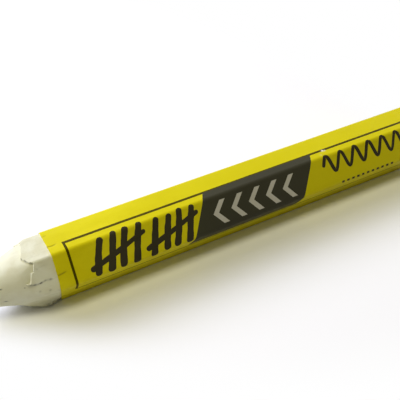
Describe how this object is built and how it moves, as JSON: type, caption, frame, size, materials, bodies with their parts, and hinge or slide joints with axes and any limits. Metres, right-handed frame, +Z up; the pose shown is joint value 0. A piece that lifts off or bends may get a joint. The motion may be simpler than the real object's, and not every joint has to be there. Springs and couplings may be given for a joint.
{
  "type": "hexagonal marking crayon",
  "caption": "Hexagonal stick of creamy white solid marking paint with a turned blunt nose, a torn dried skin and a rolled yellow paper wrapper lapped and glued along one flat.",
  "frame": {"origin": "under the middle of the stick, on the surface that it lies on", "axes": "+X along the stick from the nose to the butt, +Z up, square to the flat that it rests on"},
  "size_m": [0.127, 0.0162, 0.0143],
  "materials": {
    "soft_paint": "satin",
    "dry_skin": "matte",
    "yellow_paper": "satin",
    "dry_glue": "gloss"
  },
  "bodies": {
    "root": {"paint_core": "soft_paint", "dried_skin": "dry_skin", "paper_wrapper": "yellow_paper", "seam_glue": "dry_glue"}
  },
  "joints": []
}
